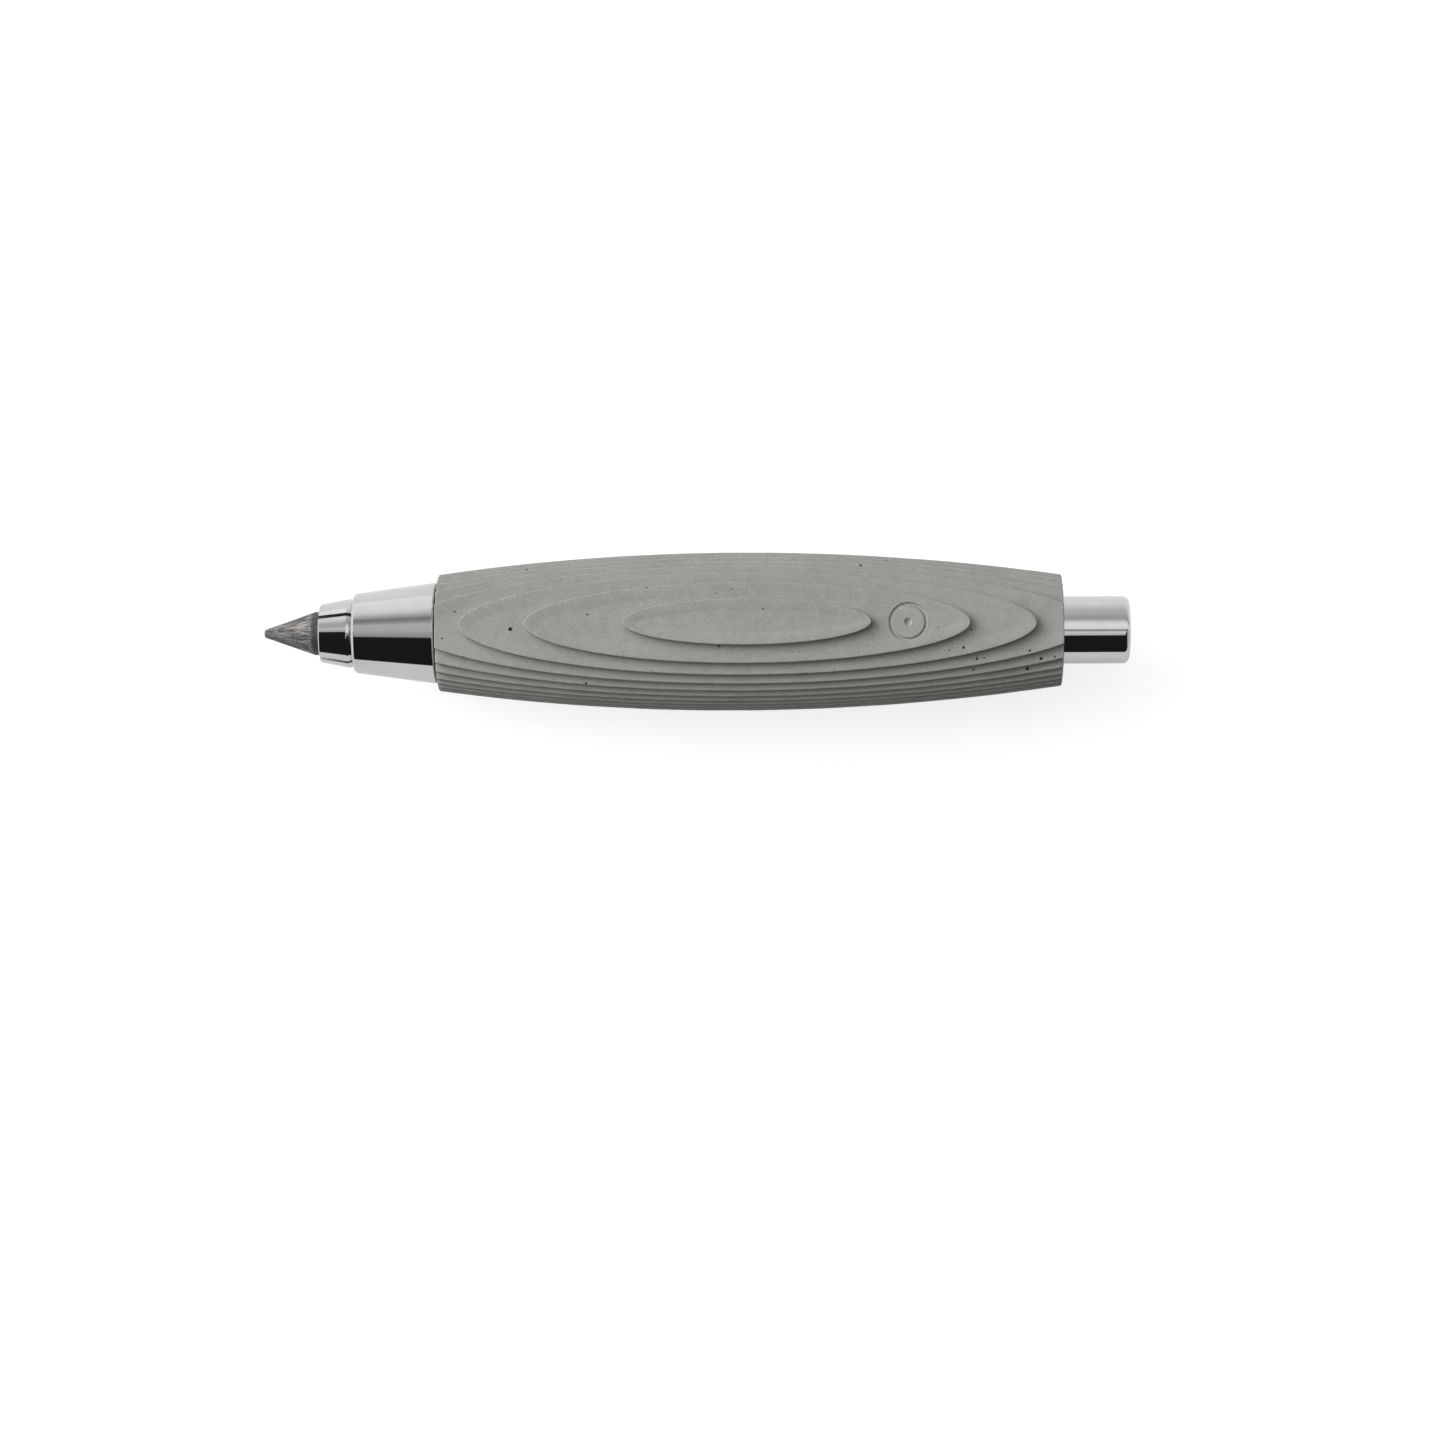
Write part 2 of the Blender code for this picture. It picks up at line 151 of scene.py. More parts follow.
def lathe(name, corners, steps=ROUND_STEPS, uneven=None):
    """A turned mesh. uneven(station, radius, turn) may give a small change of radius."""
    shape = bmesh.new()
    turns = [2 * pi * i / steps for i in range(steps)]
    change = uneven or (lambda *place: 0.0)
    rings = []
    for station, radius in supported(rounded(corners)):
        if radius < ON_AXIS:
            rings.append([shape.verts.new(at(station, 0, 0))])
            continue
        points = [at(station, radius + change(station, radius, turn), turn) for turn in turns]
        rings.append([shape.verts.new(point) for point in points])
    for ring, following in zip(rings, rings[1:] + rings[:1]):
        if len(ring) == len(following) == 1:
            continue
        for i in range(steps):
            j = (i + 1) % steps
            places = ((ring, i), (ring, j), (following, j), (following, i))
            around = [verts[k % len(verts)] for verts, k in places]
            shape.faces.new(list(dict.fromkeys(around)))
    return finish_mesh(name, shape)


def add_piece(name, mesh, body, slot, material, *nodes):
    """A visible piece, which rides on a body and stands for the CAD nodes named."""
    mesh.transform(Matrix.Translation(MIDDLE) @ Matrix.Scale(MM, 4))
    piece = bpy.data.objects.new(name, mesh)
    bpy.context.scene.collection.objects.link(piece)
    if not mesh.materials:
        mesh.materials.append(material)
    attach(piece, body)
    if nodes:
        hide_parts(*nodes)
    return piece


def combined(mesh, other, operation):
    """The mesh after a Boolean with another mesh."""
    base = bpy.data.objects.new("base", mesh)
    tool = bpy.data.objects.new("tool", other)
    for obj in (base, tool):
        bpy.context.scene.collection.objects.link(obj)
    boolean = base.modifiers.new("boolean", "BOOLEAN")
    boolean.operation = operation
    boolean.solver = "EXACT"
    boolean.object = tool
    depsgraph = bpy.context.evaluated_depsgraph_get()
    result = bpy.data.meshes.new_from_object(base.evaluated_get(depsgraph))
    bpy.data.objects.remove(base)
    bpy.data.objects.remove(tool)
    return result


# ---------------------------------------------------------------- materials

class Nodes:
    """A node tree, built with short calls."""

    def __init__(self, tree):
        self.tree = tree
        tree.nodes.clear()

    def add(self, kind, *values, **settings):
        """A node. values are its inputs in order.

        Each is a number, a colour, a socket to link from, or None to leave the input alone.
        """
        node = self.tree.nodes.new(kind)
        for key, value in settings.items():
            setattr(node, key, value)
        for place, value in enumerate(values):
            self.feed(node.inputs[place], value)
        return node

    def feed(self, entry, value):
        """Sets an input, or links it to a socket."""
        if value is None:
            return
        if isinstance(value, bpy.types.NodeSocket):
            self.tree.links.new(value, entry)
        else:
            entry.default_value = value

    def math(self, operation, *values):
        """The result of one operation on numbers."""
        return self.add("ShaderNodeMath", *values, operation=operation).outputs[0]

    def mix(self, amount, low, high):
        """A colour between two colours."""
        node = self.add("ShaderNodeMix", data_type="RGBA")
        self.feed(node.inputs[0], amount)
        self.feed(node.inputs[6], low)
        self.feed(node.inputs[7], high)
        return node.outputs[2]

    def ramp(self, value, low, high, to_low=0.0, to_high=1.0):
        """A smooth step of a value from one range to another."""
        return self.add("ShaderNodeMapRange", value, low, high, to_low, to_high,
                        interpolation_type="SMOOTHSTEP").outputs[0]

    def noise(self, where, scale, detail=3.0, roughness=0.5):
        """Noise from 0 to 1. The scale is in features per millimetre."""
        node = self.add("ShaderNodeTexNoise")
        self.feed(node.inputs["Vector"], where)
        node.inputs["Scale"].default_value = scale
        node.inputs["Detail"].default_value = detail
        node.inputs["Roughness"].default_value = roughness
        return node.outputs["Fac"]

    def place(self):
        """Where a surface point is, in millimetres from the middle of the barrel."""
        coordinates = self.add("ShaderNodeTexCoord").outputs["Object"]
        shifted = self.add("ShaderNodeVectorMath", coordinates, tuple(MIDDLE), operation="SUBTRACT")
        scaled = self.add("ShaderNodeVectorMath", shifted.outputs[0], operation="SCALE")
        self.feed(scaled.inputs["Scale"], 1 / MM)
        return scaled.outputs[0]

    def parts(self, vector):
        """The x, y and z of a vector."""
        return self.add("ShaderNodeSeparateXYZ", vector).outputs

    def vector(self, x, y, z):
        """A vector from its x, y and z."""
        return self.add("ShaderNodeCombineXYZ", x, y, z).outputs[0]

    def times(self, value, factor):
        """A product of two numbers."""
        return self.math("MULTIPLY", value, factor)

    def length(self, a, b):
        """The length of a vector that has two parts at right angles."""
        return self.math("SQRT", self.math("ADD", self.times(a, a), self.times(b, b)))

    def bump(self, height, depth, before=None):
        """A bump whose height of 1 is depth millimetres."""
        node = self.add("ShaderNodeBump")
        node.inputs["Strength"].default_value = 1.0
        node.inputs["Distance"].default_value = depth * MM
        self.feed(node.inputs["Height"], height)
        self.feed(node.inputs["Normal"], before)
        return node.outputs[0]


def grey(value, warmth=0.0):
    """A grey, slightly yellow with warmth above 0 and slightly blue below."""
    return (value * (1 + warmth), value, value * (1 - warmth), 1.0)


def start_material(name):
    """A new material and its empty node tree."""
    material = bpy.data.materials.new(name)
    material.use_nodes = True
    return material, Nodes(material.node_tree)


def surface(nodes, colour, roughness, normal=None, metallic=0.0):
    """Ends a material in a Principled BSDF."""
    shader = nodes.add("ShaderNodeBsdfPrincipled")
    nodes.feed(shader.inputs["Base Color"], colour)
    nodes.feed(shader.inputs["Roughness"], roughness)
    nodes.feed(shader.inputs["Normal"], normal)
    nodes.feed(shader.inputs["Metallic"], metallic)
    nodes.add("ShaderNodeOutputMaterial", shader.outputs[0])
    return shader


# Brightness of the concrete's clouds, patches and grain, of the painted highlight on its rims and of the
# painted shade in its pores
CLOUD_DARK = 0.262
CLOUD_PALE = 0.292
PATCH_PALE = 0.335
GRAIN_DARK = 0.19
RIM_PAINTED_HIGHLIGHT = 0.36
PORE_PAINTED_SHADE = 0.08
# Depths of its grain and pores, and the depth and width of the dish inside each rim, in millimetres
GRAIN_DEPTH = 0.04
PORE_DEPTH = 0.04
DISH_DEPTH = 0.11
DISH_WIDTH = 2.6


def stone(value):
    """A concrete grey, slightly olive."""
    return (value * 1.016, value, value * 0.94, 1.0)


def concrete_material(name, shade):
    """Smooth cast concrete, cloudy and grainy, with pores and faces that sink inside their rims. A paler band
    on each rim is a painted highlight, and the darkened pores are painted shade.
    """
    material, nodes = start_material(name)
    where = nodes.place()
    clouds = nodes.noise(where, 0.16, 4.0, 0.55)
    patches = nodes.noise(where, 0.8, 5.0, 0.6)
    grain = nodes.noise(where, 4.0, 4.0, 0.75)
    pores = nodes.noise(where, 4.2, 2.0, 0.4)
    from_rim = rim_distance(nodes, *nodes.parts(where))
    colour = nodes.mix(nodes.ramp(clouds, 0.35, 0.65), stone(CLOUD_DARK * shade), stone(CLOUD_PALE * shade))
    colour = nodes.mix(nodes.ramp(patches, 0.32, 0.7, 0.0, 0.6), colour, stone(PATCH_PALE * shade))
    colour = nodes.mix(nodes.ramp(grain, 0.3, 0.7, 0.55, 0.0), colour, stone(GRAIN_DARK * shade))
    # Painted highlight: a paler band of colour along each rim
    colour = nodes.mix(nodes.ramp(from_rim, 0.02, 0.14, 0.22, 0.0), colour, stone(RIM_PAINTED_HIGHLIGHT * shade))
    # Painted shade: the pores are darkened in colour here, and sunk with a bump below
    hole = nodes.ramp(pores, 0.22, 0.27, 0.75, 0.0)
    colour = nodes.mix(hole, colour, stone(PORE_PAINTED_SHADE * shade))
    roughness = nodes.ramp(patches, 0.2, 0.8, 0.66, 0.82)
    relief = nodes.math("ADD", nodes.times(grain, 0.4), nodes.times(patches, 0.6))
    normal = nodes.bump(relief, GRAIN_DEPTH)
    normal = nodes.bump(nodes.ramp(from_rim, 0.0, DISH_WIDTH, 1.0, 0.0), DISH_DEPTH, normal)
    normal = nodes.bump(nodes.math("SUBTRACT", 1.0, hole), PORE_DEPTH, normal)
    surface(nodes, colour, roughness, normal)
    return material


def rim_distance(nodes, x, y, z):
    """How far a place on a layer's flat face lies inside the layer's rim, in millimetres."""
    from_belly = nodes.math("SUBTRACT", x, BELLY_X)
    spindle = nodes.math("SUBTRACT", ARC_R ** 2, nodes.times(from_belly, from_belly))
    spindle = nodes.math("ADD", nodes.math("SQRT", spindle), BELLY_R - ARC_R)
    fullness = nodes.math("MULTIPLY_ADD", x, -NOSE_FULLNESS / BARREL_HALF, WIDENING)
    y = nodes.math("DIVIDE", y, fullness)
    radius = nodes.length(y, z)
    depth = nodes.math("SUBTRACT", spindle, radius)
    slope = nodes.length(nodes.math("DIVIDE", from_belly, ARC_R), nodes.math("DIVIDE", y, radius))
    return nodes.math("DIVIDE", depth, nodes.math("MAXIMUM", slope, 0.01))


def turned_metal(name, low, high, roughness, mark_depth, marks):
    """Turned metal, with fine marks round the axis, faint smears, specks and uneven polish.

    low and high are its two colours, and marks is how many marks there are per millimetre.
    """
    material, nodes = start_material(name)
    where = nodes.place()
    x, y, z = nodes.parts(where)
    squeezed = nodes.vector(nodes.times(x, marks), nodes.times(y, 0.25), nodes.times(z, 0.25))
    lines = nodes.noise(squeezed, 1.0, 3.0, 0.6)
    smears = nodes.noise(where, 0.35, 3.0, 0.5)
    specks = nodes.noise(where, 7.0, 1.0, 0.3)
    colour = nodes.mix(nodes.ramp(smears, 0.3, 0.7), low, high)
    smooth = nodes.ramp(smears, 0.35, 0.75, roughness, roughness * 1.5)
    smooth = nodes.math("ADD", smooth, nodes.ramp(specks, 0.74, 0.8, 0.0, 0.2))
    surface(nodes, colour, smooth, nodes.bump(lines, mark_depth), 1.0)
    return material


def graphite_material(cone_end):
    """Graphite, dark and satin: rubbed streaks on its length, and pale painted sheen on the knife scratches
    of its point.
    """
    material, nodes = start_material("graphite")
    where = nodes.place()
    x, y, z = nodes.parts(where)
    radius = nodes.math("MAXIMUM", nodes.length(y, z), 0.02)
    round_y = nodes.math("DIVIDE", y, radius)
    round_z = nodes.math("DIVIDE", z, radius)
    streaked = nodes.vector(nodes.times(x, 0.045), round_y, round_z)
    streaks = nodes.noise(streaked, 9.0, 3.0, 0.6)
    scratches = nodes.noise(streaked, 25.0, 2.0, 0.7)
    grain = nodes.noise(where, 6.0, 3.0, 0.6)
    edge = nodes.math("ADD", x, nodes.times(streaks, 1.1))
    sharpened = nodes.ramp(edge, cone_end + 0.25, cone_end + 0.55, 1.0, 0.0)
    # Painted sheen: the knife scratches on the point get a pale colour that stands for their glints
    scratch_sheen = nodes.times(nodes.ramp(streaks, 0.44, 0.64), nodes.ramp(grain, 0.3, 0.6, 0.35, 1.0))
    fine = nodes.ramp(scratches, 0.5, 0.68, 0.0, 0.8)
    scratch_sheen = nodes.times(nodes.math("MAXIMUM", scratch_sheen, fine), sharpened)
    drawn = nodes.noise(nodes.vector(nodes.times(x, 0.16), round_y, round_z), 13.0, 3.0, 0.6)
    rubbed = nodes.times(nodes.ramp(drawn, 0.4, 0.68), nodes.ramp(grain, 0.3, 0.65, 0.4, 1.0))
    rubbed = nodes.times(rubbed, nodes.math("SUBTRACT", 1.0, sharpened))
    colour = nodes.mix(rubbed, grey(0.046, 0.0), grey(0.105, 0.01))
    # Painted sheen: the scratches on the point are painted pale grey
    colour = nodes.mix(scratch_sheen, colour, grey(0.31, 0.05))
    roughness = nodes.ramp(rubbed, 0.0, 1.0, 0.52, 0.3)
    relief = nodes.times(nodes.math("ADD", streaks, scratches), sharpened)
    normal = nodes.bump(relief, 0.05)
    normal = nodes.bump(grain, 0.012, normal)
    surface(nodes, colour, roughness, normal, 0.35)
    return material


def rubber_material():
    """Dark brown rubber with a fine grain."""
    material, nodes = start_material("gasket_rubber")
    grain = nodes.noise(nodes.place(), 5.0, 4.0, 0.6)
    colour = nodes.mix(nodes.ramp(grain, 0.3, 0.7), (0.028, 0.016, 0.011, 1), (0.06, 0.036, 0.024, 1))
    surface(nodes, colour, nodes.ramp(grain, 0.2, 0.8, 0.55, 0.8), nodes.bump(grain, 0.02))
    return material


def steel_material():
    """Drawn and ground steel, with fine streaks along its length."""
    material, nodes = start_material("spring_steel")
    where = nodes.place()
    x, y, z = nodes.parts(where)
    drawn = nodes.noise(nodes.vector(nodes.times(x, 0.4), nodes.times(y, 9.0), z), 1.0, 4.0, 0.6)
    stain = nodes.noise(where, 0.8, 3.0, 0.6)
    colour = nodes.mix(nodes.ramp(stain, 0.3, 0.7), grey(0.46, 0.01), grey(0.60, 0.0))
    surface(nodes, colour, nodes.ramp(drawn, 0.3, 0.7, 0.18, 0.36), nodes.bump(drawn, 0.008), 1.0)
    return material


# ---------------------------------------------------------------- concrete barrel

# The barrel is wider than it is tall, and fuller towards the nose
WIDENING = 1.012
NOSE_FULLNESS = 0.019
RIM_ANGLE = radians(40)
# Rounding of the rims, which is finer on the layers nearest the middle plane, up to LAST_FINE
RIM_ROUNDING = 0.12
FINE_RIM_ROUNDING = 0.07
LAST_FINE = 4
# The barrel's materials: plain concrete, and the same concrete darkened as painted shade inside the blow
# holes
STONE = 0
PORE = 1
BORE_CLEARANCE = 0.05
PIT_SEED = 22
RANDOM_PITS = 60
RIM_PITS = 54
# Scattered pits stay within this share of the barrel's width or length, and short of these stations
PIT_SPREAD = 0.93
PIT_REACH = 38.5
# Station, distance to the right of the axis (+Y) and radius of the blow holes that show on top
BLOW_HOLES = [
    (-30.2, -0.6, 0.27), (-37.4, 1.8, 0.13), (-39.0, -1.6, 0.12), (-32.0, -1.2, 0.09), (-28.5, 7.6, 0.13),
    (-20.4, 1.1, 0.12), (-18.5, 0.5, 0.08), (-12.9, 4.5, 0.11), (-3.7, -3.0, 0.17), (-20.7, -7.3, 0.14),
    (25.4, -3.5, 0.1), (27.2, -3.2, 0.19), (28.2, -0.9, 0.13), (28.9, -4.5, 0.17), (29.8, -4.4, 0.12),
    (28.5, -5.8, 0.14), (35.6, -3.5, 0.17), (37.1, -4.4, 0.23), (38.8, -4.2, 0.14), (35.4, -5.6, 0.24),
]
# The generic mark, a ring and a dot: how far the wire and ball that cut it rise above the face
MARK_STATION = 20.2
MARK_R = 2.25
MARK_LINE_R = 0.27
MARK_LINE_RISE = 0.06
DOT_R = 0.62
DOT_RISE = 0.35


def spindle_radius(station):
    """Radius of the spindle that touches every rim, measured up from its axis."""
    return BELLY_R - ARC_R + sqrt(ARC_R ** 2 - (station - BELLY_X) ** 2)


def half_width(station, height):
    """Half the barrel's width at a station and a height. It is fuller towards the nose."""
    round_width = sqrt(max(spindle_radius(station) ** 2 - height ** 2, 0))
    return round_width * (WIDENING - NOSE_FULLNESS * station / BARREL_HALF)


def layer_reach(height):
    """How far a layer at a height reaches along the barrel from its belly."""
    return min(sqrt(ARC_R ** 2 - (ARC_R - BELLY_R + height) ** 2), BARREL_HALF)


def layer_outline(index, steps=240):
    """The plan outline of one layer, as (station, offset) points."""
    height = index * LAYER_THICKNESS
    reach = layer_reach(height)
    if reach < BARREL_HALF:
        along = [BELLY_X + reach * sin(pi * (i / steps - 0.5)) for i in range(steps + 1)]
    else:
        along = [BARREL_HALF * (2 * i / steps - 1) for i in range(steps + 1)]
    side = [(x, half_width(x, height)) for x in along]
    back = [(x, -y) for x, y in reversed(side)]
    if reach < BARREL_HALF:
        back = back[1:-1]
    return side + back


def unevenness(x, y, z):
    """How far a hand-finished casting falls short of its mould, as a share of its width."""
    waves = noise.noise(Vector((x * 0.22, y * 0.2, z * 0.35)))
    waves += 0.5 * noise.noise(Vector((x * 0.9, y, z)))
    crumbs = noise.noise(Vector((x * 1.7, y * 1.3, z * 5.0)))
    return 0.0022 * (1 + waves) + 0.002 * max(crumbs, -0.1)


def layer_slab(index):
    """The slab that reaches up and down to one layer's height, with rounded rims."""
    height = index * LAYER_THICKNESS
    shape = bmesh.new()
    loops = []
    for level in (-height, height):
        outline = [(x, y * (1 - unevenness(x, y, level)), level) for x, y in layer_outline(index)]
        loop = [shape.verts.new(point) for point in outline]
        shape.faces.new(loop)
        loops.append(loop)
    low, high = loops
    for i in range(len(low)):
        shape.faces.new((low[i - 1], low[i], high[i], high[i - 1]))
    bmesh.ops.recalc_face_normals(shape, faces=shape.faces)
    rims = [edge for edge in shape.edges if edge.calc_face_angle() > RIM_ANGLE]
    rounding = RIM_ROUNDING if index > LAST_FINE else FINE_RIM_ROUNDING
    bmesh.ops.bevel(shape, geom=rims, offset=rounding, offset_type="OFFSET", segments=3, profile=0.5,
                    affect="EDGES", clamp_overlap=True)
    return finish_mesh("slab", shape)


def top_height(station, offset):
    """Height of the barrel's top face above the axis, at a place."""
    return int(sqrt(spindle_radius(station) ** 2 - offset ** 2) / LAYER_THICKNESS) * LAYER_THICKNESS


def pit_places():
    """Places and radii of all blow holes: the ones listed on top, and scattered ones all round."""
    pits = [(Vector((x, y, top_height(x, y))), r) for x, y, r in BLOW_HOLES]
    chance = random.Random(PIT_SEED)
    while len(pits) < len(BLOW_HOLES) + RANDOM_PITS:
        x = chance.uniform(-PIT_REACH, PIT_REACH)
        y = chance.uniform(-PIT_SPREAD, PIT_SPREAD) * spindle_radius(x)
        side = chance.choice((-1, -1, 1))
        place = Vector((x, y, side * top_height(x, y)))
        radius = 0.05 + 0.14 * chance.random() ** 3
        if all((place - other).length > 3 * (radius + size) for other, size in pits):
            pits.append((place, radius))
    return pits + rim_pits(chance)


def rim_pits(chance):
    """Small chips along the rims of the upper and lower layers."""
    chips = []
    for _ in range(RIM_PITS):
        height = chance.randint(3, LAYER_COUNT) * LAYER_THICKNESS
        x = chance.uniform(-PIT_SPREAD, PIT_SPREAD) * layer_reach(height)
        y = half_width(x, height) * chance.choice((-1, -1, 1))
        place = Vector((x, y, height * chance.choice((-1, 1, 1))))
        chips.append((place, 0.05 + 0.08 * chance.random() ** 2))
    return chips


def pits_mesh():
    """All blow holes as lumpy balls, sunk in a little so that they narrow at their mouths."""
    shape = bmesh.new()
    for index, (place, radius) in enumerate(pit_places()):
        made = bmesh.ops.create_icosphere(shape, subdivisions=2, radius=1.0)["verts"]
        sunk = place - Vector((0, 0, 0.45 * radius if place.z > 0 else -0.45 * radius))
        for vert in made:
            lump = 1.1 + 0.25 * noise.noise(vert.co * 1.3 + Vector((index * 3.1, 0, 0)))
            vert.co = sunk + vert.co * radius * lump
    return finish_mesh("pits", shape)


def groove_ring(middle, radius, line_r, steps=96, sides=16):
    """A ring of round wire, lying flat, which cuts a groove."""
    shape = bmesh.new()
    rings = []
    for i in range(steps):
        turn = 2 * pi * i / steps
        out = Vector((cos(turn), sin(turn), 0))
        ring = []
        for k in range(sides):
            angle = 2 * pi * k / sides
            rise = Vector((0, 0, line_r * sin(angle)))
            ring.append(shape.verts.new(Vector(middle) + out * (radius + line_r * cos(angle)) + rise))
        rings.append(ring)
    for i in range(steps):
        for k in range(sides):
            shape.faces.new((rings[i - 1][k - 1], rings[i - 1][k], rings[i][k], rings[i][k - 1]))
    return finish_mesh("groove", shape)


def ball(middle, radius):
    """A round ball."""
    shape = bmesh.new()
    bmesh.ops.create_uvsphere(shape, u_segments=32, v_segments=16, radius=radius)
    bmesh.ops.translate(shape, vec=middle, verts=shape.verts)
    return finish_mesh("ball", shape)


def barrel_mesh(materials):
    """The whole casting. Faces inside blow holes take the second material, the concrete darkened as painted
    shade.
    """

    def made_of(mesh, kind):
        for material in materials:
            mesh.materials.append(material)
        mesh.polygons.foreach_set("material_index", [kind] * len(mesh.polygons))
        return mesh

    mesh = made_of(layer_slab(1), STONE)
    for index in range(2, LAYER_COUNT + 1):
        mesh = combined(mesh, made_of(layer_slab(index), STONE), "UNION")
    bore_r = outer_radius("barrel_liner") + BORE_CLEARANCE
    end = BARREL_HALF + 2
    bore = lathe("bore", [(end, 0, 0), (end, bore_r, 0), (-end, bore_r, 0), (-end, 0, 0)], 96)
    mesh = combined(mesh, made_of(bore, STONE), "DIFFERENCE")
    mesh = combined(mesh, made_of(pits_mesh(), PORE), "DIFFERENCE")
    level = (LAYER_COUNT - 1) * LAYER_THICKNESS
    ring = groove_ring((MARK_STATION, 0, level + MARK_LINE_RISE), MARK_R, MARK_LINE_R)
    mesh = combined(mesh, made_of(ring, STONE), "DIFFERENCE")
    dot = ball((MARK_STATION, 0, level + DOT_RISE), DOT_R)
    mesh = combined(mesh, made_of(dot, STONE), "DIFFERENCE")
    mesh.shade_smooth()
    mesh.set_sharp_from_angle(angle=SHARP_ANGLE)
    return mesh


def make_barrel():
    """The concrete barrel, with normals that keep its faces flat."""
    stone_face = concrete_material("cast_concrete", 1.0)
    # The second material is the same concrete at 0.3 of its brightness, painted shade inside the blow holes
    mesh = barrel_mesh([stone_face, concrete_material("concrete_pores_painted_shade", 0.3)])
    barrel = add_piece("cast_barrel", mesh, "barrel", "concrete", stone_face, "concrete_barrel")
    weighted = barrel.modifiers.new("flat faces", "WEIGHTED_NORMAL")
    weighted.keep_sharp = True
    weighted.weight = 50


# ---------------------------------------------------------------- metal and lead

CONE_LENGTH = 10.74
CONE_TAPER = radians(7.57)
CONE_BEVEL = 0.18
CONE_NECK_R = 4.9
CONE_HOLLOW_R = 4.45
# The cone's mouth closes the jaws, and narrows to a throat
CONE_MOUTH_R = 4.31
CONE_THROAT_R = 3.85
CONE_THROAT_FRONT = 1.31
CONE_THROAT_BACK = 4.96


def make_nose_cone(chrome):
    """The nose cone, with the neck that screws into the barrel and the mouth that closes the jaws."""
    front, neck_end = stations("nose_cone")
    back = front + CONE_LENGTH
    bevel = back - CONE_BEVEL
    back_r = outer_radius("nose_cone")
    front_r = back_r - (bevel - front) * tan(CONE_TAPER)
    corners = [
        (neck_end, CONE_NECK_R, 0.2),
        (back, CONE_NECK_R, 0),
        (back, back_r - 0.16, 0.03),
        (bevel, back_r, 0.06),
        (front, front_r, 0.8),
        (front, CONE_MOUTH_R, 0.06),
        (front + CONE_THROAT_FRONT, CONE_THROAT_R, 0.1),
        (front + CONE_THROAT_BACK, CONE_THROAT_R, 0),
        (front + CONE_THROAT_BACK, CONE_HOLLOW_R, 0),
        (neck_end, CONE_HOLLOW_R, 0),
    ]
    mesh = lathe("polished_nose_cone", corners)
    add_piece("polished_nose_cone", mesh, "barrel", "chrome", chrome, "nose_cone")


SLIT = 0.48
SLIT_ROUNDING = 0.04
JAW_TURN = radians(19)
JAW_STEPS = 36
WEDGE_ANGLE = radians(20)
WEDGE_FRONT = 4.08
WEDGE_R = 4.36
FINGER_R = 3.5
# The jaws' hole grips the lead in front and clears it behind
GRIP_R = 2.85
GRIP_LENGTH = 6.83
CLEAR_R = 2.95


def jaw_corners():
    """The turned outline of the collet's head and neck."""
    front, root = stations("collet_jaw_1")
    wedge = front + WEDGE_FRONT
    neck = wedge + (WEDGE_R - FINGER_R) / tan(WEDGE_ANGLE)
    return [
        (root, FINGER_R, 0.03),
        (neck, FINGER_R, 0.3),
        (wedge, WEDGE_R, 0.1),
        (front + 3.73, 4.47, 0.25),
        (front, 3.74, 0.17),
        (front, GRIP_R, 0.08),
        (front + GRIP_LENGTH, GRIP_R, 0),
        (front + GRIP_LENGTH + 0.2, CLEAR_R, 0),
        (root, CLEAR_R, 0.03),
    ]


def jaw_mesh(facing):
    """A quarter of the turned collet, between two parallel-sided saw slits."""
    shape = bmesh.new()
    rows = []
    for station, radius in supported(rounded(jaw_corners())):
        skip = asin(SLIT / 2 / radius)
        start = facing - pi / 4 + skip
        sweep = pi / 2 - 2 * skip
        points = [at(station, radius, start + sweep * i / JAW_STEPS) for i in range(JAW_STEPS + 1)]
        rows.append([shape.verts.new(point) for point in points])
    for row, following in zip(rows, rows[1:] + rows[:1]):
        for i in range(JAW_STEPS):
            shape.faces.new((row[i], row[i + 1], following[i + 1], following[i]))
    sides = [shape.faces.new([row[end] for row in rows]) for end in (0, JAW_STEPS)]
    edges = [edge for side in sides for edge in side.edges]
    bmesh.ops.bevel(shape, geom=edges, offset=SLIT_ROUNDING, offset_type="OFFSET", segments=2, profile=0.5,
                    affect="EDGES", clamp_overlap=True)
    return finish_mesh("jaw", shape)


def make_jaws(chrome):
    """The four jaws of the collet, each on its own hinge."""
    for number in range(1, 5):
        facing = JAW_TURN + (number - 1) * pi / 2
        add_piece(f"polished_jaw_{number}", jaw_mesh(facing), f"jaw_{number}", "chrome", chrome,
                  f"collet_jaw_{number}")


LEAD_R = 2.8
TIP_R = 0.46
# Length of the sharpened point, how much its radius falls, and how many rings it is made of
POINT_LENGTH = 6.56
POINT_FALL = 2.3
POINT_RINGS = 26
LEAD_STEPS = 240


